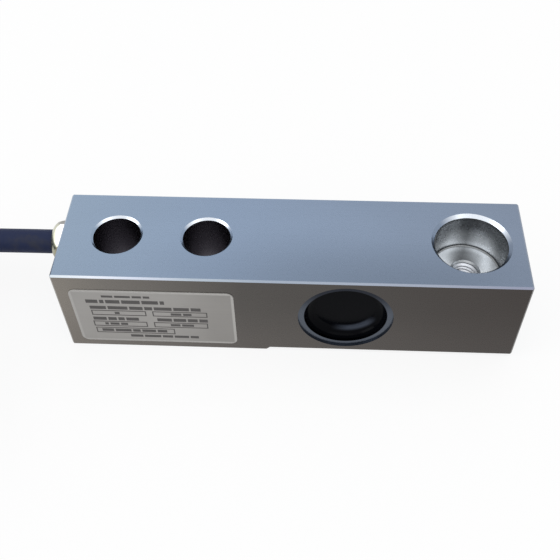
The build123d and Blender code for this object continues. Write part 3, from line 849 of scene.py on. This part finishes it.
def rounded_ring(middle, outward, sides, height, corner):
    """A level rectangle with round corners, given by half of each side, the first one outward."""
    aside = Vector((-outward.y, outward.x, 0))
    ring = []
    for quarter, (u_sign, v_sign) in enumerate([(1, 1), (-1, 1), (-1, -1), (1, -1)]):
        for step in range(4):
            angle = radians(90 * quarter + 30 * step)
            u = u_sign * (sides[0] - corner) + corner * cos(angle)
            v = v_sign * (sides[1] - corner) + corner * sin(angle)
            point = middle + outward * u + aside * v
            ring.append((point.x, point.y, height))
    return ring


lock_mesh = bmesh.new()
for tie_place in tie_places:
    tie_middle = radians(tie_place + tie_sweep / 2)
    outward = Vector((cos(tie_middle), sin(tie_middle), 0))
    lock = Vector((coil_x, coil_y, 0)) + outward * coil_mid_r
    levels = [
        (0.0, -lock_sunk),
        (0.0, lock_height - lock_edge),
        (lock_edge * 0.4, lock_height - lock_edge * 0.3),
        (lock_edge, lock_height),
    ]
    lock_rings = []
    for inset, level in levels:
        sides = (lock_along / 2 - inset, lock_across / 2 - inset)
        lock_rings.append(rounded_ring(lock, outward, sides, tie_top_z + level, lock_corner))
    loft_rings(lock_mesh, lock_rings)
    stub = lock + outward * (lock_along / 2 + stub_out)
    stub_rings = []
    for level in (stub_low, stub_high):
        sides = (stub_along / 2, stub_across / 2)
        stub_rings.append(rounded_ring(stub, outward, sides, tie_top_z + level, stub_corner))
    loft_rings(lock_mesh, stub_rings)
tie_locks = piece_of(lock_mesh, "tie_locks", nylon)


# Studio. A pale floor with one soft lamp above it and one to its left, and the camera at the
# photograph's place. Sizes and places in this section are in metres.
floor_half = 12.0


def seen_or_mirrored(shading):
    """1 on rays from the camera, in mirrors and through glass, and 0 on rays that carry light."""
    camera_ray = shading.node("LightPath", output="Is Camera Ray")
    glossy_ray = shading.node("LightPath", output="Is Glossy Ray")
    through_glass = shading.node("LightPath", output="Is Transmission Ray")
    return camera_ray.greater(glossy_ray).greater(through_glass)


floor_paint = Finish("pale_floor", {"Roughness": 0.9, "Specular IOR Level": 0.1})
mottle = floor_paint.grain((40.0, 40.0, 40.0), detail=3.0)
floor_paint.feed({
    "Base Color": floor_paint.mixed(mottle, opaque(0.93, 0.93, 0.93), opaque(0.95, 0.95, 0.95)),
})
white_share = seen_or_mirrored(floor_paint) * 0.85
lit_floor = Field(floor_paint, floor_paint.shader.outputs[0])
white_glow = floor_paint.node("Emission")
pale_floor = floor_paint.node("MixShader", inputs={0: white_share, 1: lit_floor, 2: white_glow})
floor_paint.show("Material Output", pale_floor)

floor_corners = [
    (-floor_half, -floor_half, 0),
    (floor_half, -floor_half, 0),
    (floor_half, floor_half, 0),
    (-floor_half, floor_half, 0),
]
floor_data = bpy.data.meshes.new("studio_floor")
floor_data.from_pydata(floor_corners, [], [(0, 1, 2, 3)])
floor_data.materials.append(floor_paint.material)
studio_floor = bpy.data.objects.new("studio_floor", floor_data)
bpy.context.scene.collection.objects.link(studio_floor)


def soft_lamp(name, place, aim, size, power, colour):
    """A square area lamp at a place, turned to the point that it lights."""
    data = bpy.data.lights.new(name, "AREA")
    data.size = size
    data.energy = power
    data.color = colour
    lamp = bpy.data.objects.new(name, data)
    lamp.location = place
    lamp.rotation_euler = (Vector(aim) - Vector(place)).to_track_quat("-Z", "Y").to_euler()
    bpy.context.scene.collection.objects.link(lamp)


lit_point = (0.03, 0.0, 0.02)
daylight = (0.98, 0.99, 1.0)
soft_lamp("overhead_window", (0.30, -0.05, 1.30), lit_point, 1.8, 9.0, daylight)
soft_lamp("left_window", (-1.20, -0.40, 0.60), lit_point, 0.9, 6.0, daylight)

world = bpy.data.worlds.new("studio_light")
bpy.context.scene.world = world
world.use_nodes = True
sky = Shading(world.node_tree)
white = opaque(1.0, 1.0, 1.0)
skylight = sky.node("Background", inputs={"Color": white, "Strength": 0.6})
backdrop = sky.node("Background", inputs={"Color": white, "Strength": 1.0})
studio_sky = sky.node("MixShader", inputs={0: seen_or_mirrored(sky), 1: skylight, 2: backdrop})
sky.show("World Output", studio_sky)

camera_place = Vector((0.04292, -0.15290, 0.19936))
camera_aim = Vector((0.03233, 0.01102, 0.0))
camera_roll = radians(-1.39)
camera_data = bpy.data.cameras.new("photo_camera")
camera_data.lens = 52.2
camera_data.sensor_width = 36.0
camera_data.clip_start = 0.01
camera = bpy.data.objects.new("photo_camera", camera_data)
turned_to = (camera_aim - camera_place).to_track_quat("-Z", "Y").to_matrix()
levelled = turned_to @ Matrix.Rotation(camera_roll, 3, "Z")
camera.matrix_world = Matrix.Translation(camera_place) @ levelled.to_4x4()
bpy.context.scene.collection.objects.link(camera)
bpy.context.scene.camera = camera

bpy.context.scene.view_settings.view_transform = "Standard"
